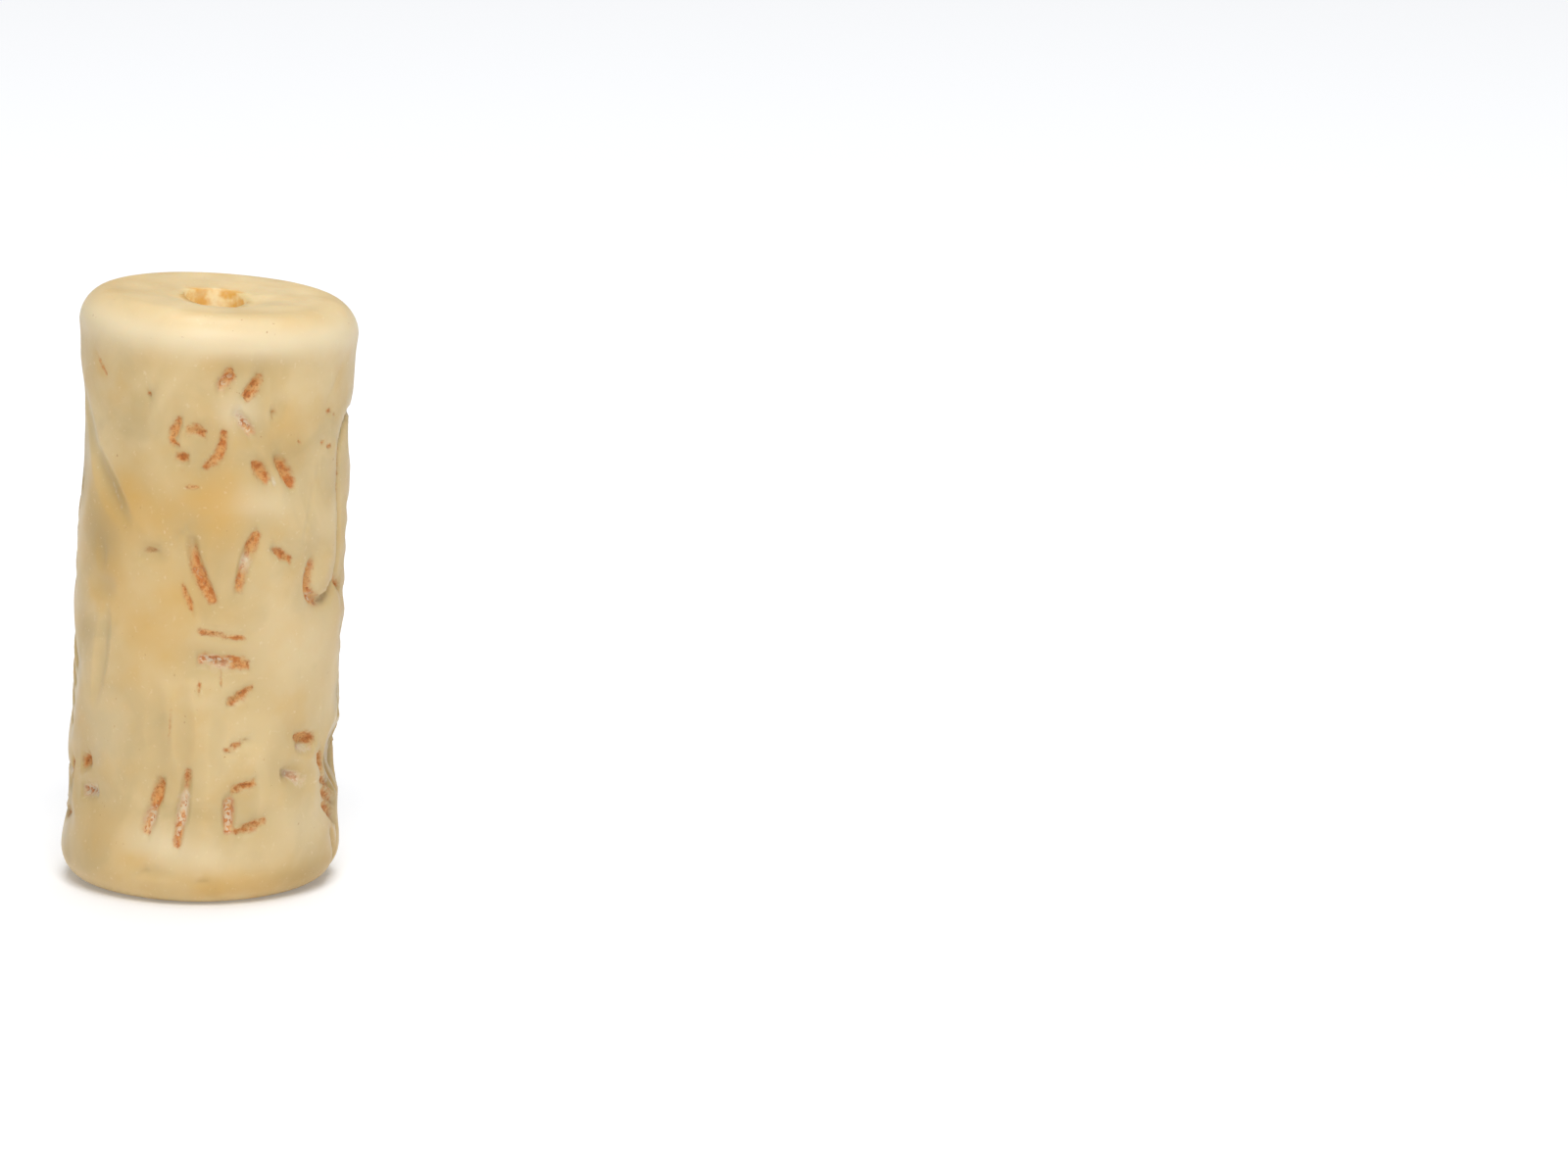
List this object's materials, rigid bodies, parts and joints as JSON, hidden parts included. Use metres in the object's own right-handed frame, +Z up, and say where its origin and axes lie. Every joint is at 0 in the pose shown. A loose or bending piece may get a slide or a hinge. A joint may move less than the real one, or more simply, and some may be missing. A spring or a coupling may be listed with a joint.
{
  "type": "cylinder seal",
  "caption": "Worn stone cylinder seal, drilled lengthwise and engraved all round with a contest of standing figures and upturned animals, with dark deposit in the deeper cuts.",
  "frame": {"origin": "on the surface that the seal stands on, under the middle of its height", "axes": "+Z up along the drilled hole, -Y out of the front, where the standing figure with the belt is carved, and +X to that front's right"},
  "size_m": [0.0173, 0.0164, 0.0354],
  "materials": {
    "stone": "satin"
  },
  "bodies": {
    "root": {"cylinder_seal": "stone"}
  },
  "joints": []
}
